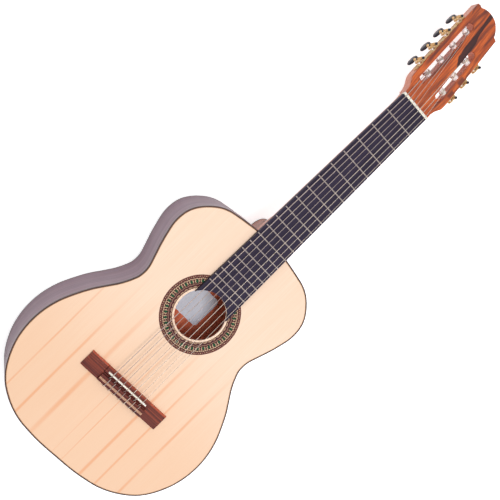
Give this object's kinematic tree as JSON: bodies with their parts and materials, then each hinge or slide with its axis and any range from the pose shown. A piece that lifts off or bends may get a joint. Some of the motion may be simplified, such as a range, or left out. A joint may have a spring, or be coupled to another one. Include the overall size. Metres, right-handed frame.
{
  "type": "classical guitar",
  "caption": "Nylon-string classical guitar with a slotted head, worm-gear tuners, a fan-braced hollow body and a tied bridge; it rests on its flat back.",
  "frame": {"origin": "on the outer face of the back, on the centre line directly under the middle of the sound hole", "axes": "+Y along the strings to the head, +X to the treble side, +Z out of the soundboard"},
  "size_m": [0.382, 1.0273, 0.112],
  "materials": {
    "spruce": "glossy, fine straight grain",
    "rosewood": "glossy, dark purple-brown",
    "bridge_rosewood": "satin, dark stripes",
    "ebony": "satin, with nickel silver frets set in it",
    "cedar": "glossy, pink orange",
    "lining_cedar": "unfinished",
    "veneer": "glossy, orange brown with dark figure",
    "mosaic": "glossy, inlaid rings of coloured wood",
    "bone": "polished",
    "paper": "plain paper",
    "nylon": "clear",
    "wound_string": "silver-plated winding",
    "gold": "polished gold plate",
    "pearl": "pearl white",
    "button_black": "polished"
  },
  "bodies": {
    "guitar": {"soundboard": "spruce", "upper_harmonic_bar": "spruce", "lower_harmonic_bar": "spruce", "fan_bracing": "spruce", "back_plate": "rosewood", "treble_rib": "rosewood", "bass_rib": "rosewood", "top_binding": "rosewood", "back_binding": "rosewood", "bridge": "bridge_rosewood", "fretboard": "ebony", "neck": "cedar", "neck_block": "cedar", "tail_block": "cedar", "top_lining": "lining_cedar", "back_lining": "lining_cedar", "back_bracing": "lining_cedar", "head_veneer": "veneer", "rosette": "mosaic", "nut": "bone", "saddle": "bone", "tie_block_inlay": "bone", "label": "paper", "string_1": "nylon", "string_2": "nylon", "string_3": "nylon", "string_4": "wound_string", "string_5": "wound_string", "string_6": "wound_string", "string_7": "wound_string", "bass_tuner_plate": "gold", "treble_tuner_plate": "gold"},
    "tuner_shaft_1": {"worm_shaft_1": "gold", "button_1": "button_black"},
    "string_roller_1": {"roller_1": "pearl", "gear_1": "gold"},
    "tuner_shaft_2": {"worm_shaft_2": "gold", "button_2": "button_black"},
    "string_roller_2": {"roller_2": "pearl", "gear_2": "gold"},
    "tuner_shaft_3": {"worm_shaft_3": "gold", "button_3": "button_black"},
    "string_roller_3": {"roller_3": "pearl", "gear_3": "gold"},
    "tuner_shaft_4": {"worm_shaft_4": "gold", "button_4": "button_black"},
    "string_roller_4": {"roller_4": "pearl", "gear_4": "gold"},
    "tuner_shaft_5": {"worm_shaft_5": "gold", "button_5": "button_black"},
    "string_roller_5": {"roller_5": "pearl", "gear_5": "gold"},
    "tuner_shaft_6": {"worm_shaft_6": "gold", "button_6": "button_black"},
    "string_roller_6": {"roller_6": "pearl", "gear_6": "gold"},
    "tuner_shaft_7": {"worm_shaft_7": "gold", "button_7": "button_black"},
    "string_roller_7": {"roller_7": "pearl", "gear_7": "gold"}
  },
  "joints": [
    {"name": "button_1_turn", "type": "hinge", "parent": "guitar", "child": "tuner_shaft_1", "pos_m": [0.0446, 0.55069, 0.08202], "axis": [0, 0.247, 0.969], "continuous": true},
    {"name": "roller_1_turn", "type": "hinge", "parent": "guitar", "child": "string_roller_1", "pos_m": [0.03843, 0.54323, 0.08392], "axis": [0.9995, 0.0304, -0.0078], "continuous": true},
    {"name": "button_2_turn", "type": "hinge", "parent": "guitar", "child": "tuner_shaft_2", "pos_m": [0.0435, 0.58458, 0.07338], "axis": [0, 0.247, 0.969], "continuous": true},
    {"name": "roller_2_turn", "type": "hinge", "parent": "guitar", "child": "string_roller_2", "pos_m": [0.03734, 0.57713, 0.07528], "axis": [0.9995, 0.0304, -0.0078], "continuous": true},
    {"name": "button_3_turn", "type": "hinge", "parent": "guitar", "child": "tuner_shaft_3", "pos_m": [0.0424, 0.61848, 0.06474], "axis": [0, 0.247, 0.969], "continuous": true},
    {"name": "roller_3_turn", "type": "hinge", "parent": "guitar", "child": "string_roller_3", "pos_m": [0.03624, 0.61102, 0.06664], "axis": [0.9995, 0.0304, -0.0078], "continuous": true},
    {"name": "button_4_turn", "type": "hinge", "parent": "guitar", "child": "tuner_shaft_4", "pos_m": [-0.0413, 0.65238, 0.0561], "axis": [0, 0.247, 0.969], "continuous": true},
    {"name": "roller_4_turn", "type": "hinge", "parent": "guitar", "child": "string_roller_4", "pos_m": [-0.03514, 0.64492, 0.058], "axis": [-0.9995, 0.0304, -0.0078], "continuous": true},
    {"name": "button_5_turn", "type": "hinge", "parent": "guitar", "child": "tuner_shaft_5", "pos_m": [-0.0424, 0.61848, 0.06474], "axis": [0, 0.247, 0.969], "continuous": true},
    {"name": "roller_5_turn", "type": "hinge", "parent": "guitar", "child": "string_roller_5", "pos_m": [-0.03624, 0.61102, 0.06664], "axis": [-0.9995, 0.0304, -0.0078], "continuous": true},
    {"name": "button_6_turn", "type": "hinge", "parent": "guitar", "child": "tuner_shaft_6", "pos_m": [-0.0435, 0.58458, 0.07338], "axis": [0, 0.247, 0.969], "continuous": true},
    {"name": "roller_6_turn", "type": "hinge", "parent": "guitar", "child": "string_roller_6", "pos_m": [-0.03734, 0.57713, 0.07528], "axis": [-0.9995, 0.0304, -0.0078], "continuous": true},
    {"name": "button_7_turn", "type": "hinge", "parent": "guitar", "child": "tuner_shaft_7", "pos_m": [-0.0446, 0.55069, 0.08202], "axis": [0, 0.247, 0.969], "continuous": true},
    {"name": "roller_7_turn", "type": "hinge", "parent": "guitar", "child": "string_roller_7", "pos_m": [-0.03843, 0.54323, 0.08392], "axis": [-0.9995, 0.0304, -0.0078], "continuous": true}
  ],
  "couplings": [
    {"joint": "roller_1_turn", "follows": "button_1_turn", "ratio": -0.071429},
    {"joint": "roller_2_turn", "follows": "button_2_turn", "ratio": -0.071429},
    {"joint": "roller_3_turn", "follows": "button_3_turn", "ratio": -0.071429},
    {"joint": "roller_4_turn", "follows": "button_4_turn", "ratio": 0.071429},
    {"joint": "roller_5_turn", "follows": "button_5_turn", "ratio": 0.071429},
    {"joint": "roller_6_turn", "follows": "button_6_turn", "ratio": 0.071429},
    {"joint": "roller_7_turn", "follows": "button_7_turn", "ratio": 0.071429}
  ]
}
